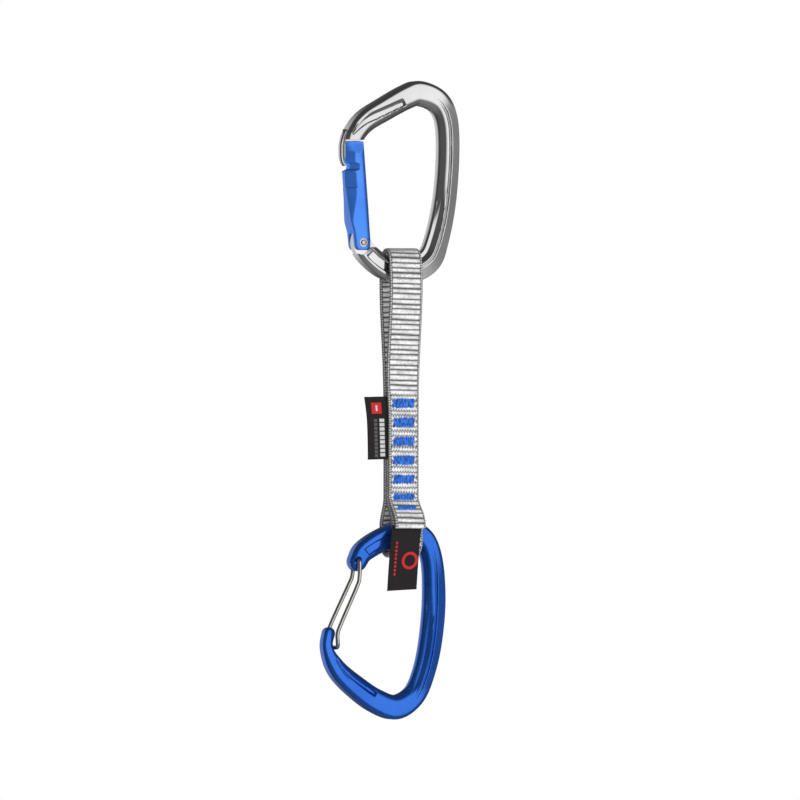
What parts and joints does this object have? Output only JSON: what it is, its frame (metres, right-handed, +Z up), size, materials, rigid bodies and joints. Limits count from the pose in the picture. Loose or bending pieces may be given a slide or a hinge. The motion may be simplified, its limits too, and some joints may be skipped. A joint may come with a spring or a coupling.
{
  "type": "climbing quickdraw",
  "caption": "Quickdraw: a solid-gate carabiner and a wire-gate carabiner joined by a short sewn webbing sling.",
  "frame": {"origin": "the lowest-energy bearing point inside the upper carabiner's top basket, where it hangs on a bolt hanger", "axes": "+Z up along the hanging quickdraw, +X across the carabiners towards their spines, +Y through their thickness, away from the side with the sling's sewn end"},
  "size_m": [0.074, 0.0212, 0.3119],
  "materials": {
    "grey_anodised": "polished grey anodised forging",
    "blue_anodised_gate": "satin blue anodised",
    "blue_anodised_frame": "bright blue anodised forging",
    "stainless": "drawn stainless wire",
    "webbing": "ribbed polyamide webbing",
    "thread": "dense bar-tack thread",
    "label": "woven satin ribbon"
  },
  "bodies": {
    "upper_carabiner": {"upper_frame": "grey_anodised", "upper_gate_rivet": "stainless"},
    "upper_gate": {"upper_gate": "blue_anodised_gate", "upper_gate_spring": "stainless"},
    "gate_plunger": {"upper_gate_plunger": "stainless"},
    "sling": {"sling_webbing": "webbing", "bar_tack_1": "thread", "bar_tack_2": "thread", "bar_tack_3": "thread", "bar_tack_4": "thread", "bar_tack_5": "thread", "bar_tack_6": "thread", "end_stitch": "thread", "side_label": "label", "hang_tag": "label"},
    "lower_carabiner": {"lower_frame": "blue_anodised_frame"},
    "wire_gate": {"lower_wire_gate": "stainless"}
  },
  "joints": [
    {"name": "upper_gate_hinge", "type": "hinge", "parent": "upper_carabiner", "child": "upper_gate", "pos_m": [-0.0322, 0, -0.0671], "axis": [0, 1, 0], "range_deg": [0, 28], "stiffness_Nm_per_rad": 0.3},
    {"name": "plunger_slide", "type": "slide", "parent": "upper_gate", "child": "gate_plunger", "axis": [-0.0819, 0, 0.9966], "range_m": [0, 0.0009], "deforming": ["upper_gate_spring"]},
    {"name": "sling_swing", "type": "hinge", "parent": "upper_carabiner", "child": "sling", "pos_m": [-0.0096, 0, -0.0772], "axis": [1, 0, 0], "range_deg": [-12, 12]},
    {"name": "lower_swing", "type": "hinge", "parent": "sling", "child": "lower_carabiner", "pos_m": [-0.0096, 0, -0.2128], "axis": [1, 0, 0], "range_deg": [-6, 6]},
    {"name": "wire_gate_hinge", "type": "hinge", "parent": "lower_carabiner", "child": "wire_gate", "pos_m": [-0.034, 0, -0.2225], "axis": [0, -1, 0], "range_deg": [0, 25], "stiffness_Nm_per_rad": 0.15}
  ],
  "couplings": [
    {"joint": "plunger_slide", "follows": "upper_gate_hinge", "m_per_rad": 0.0017}
  ]
}
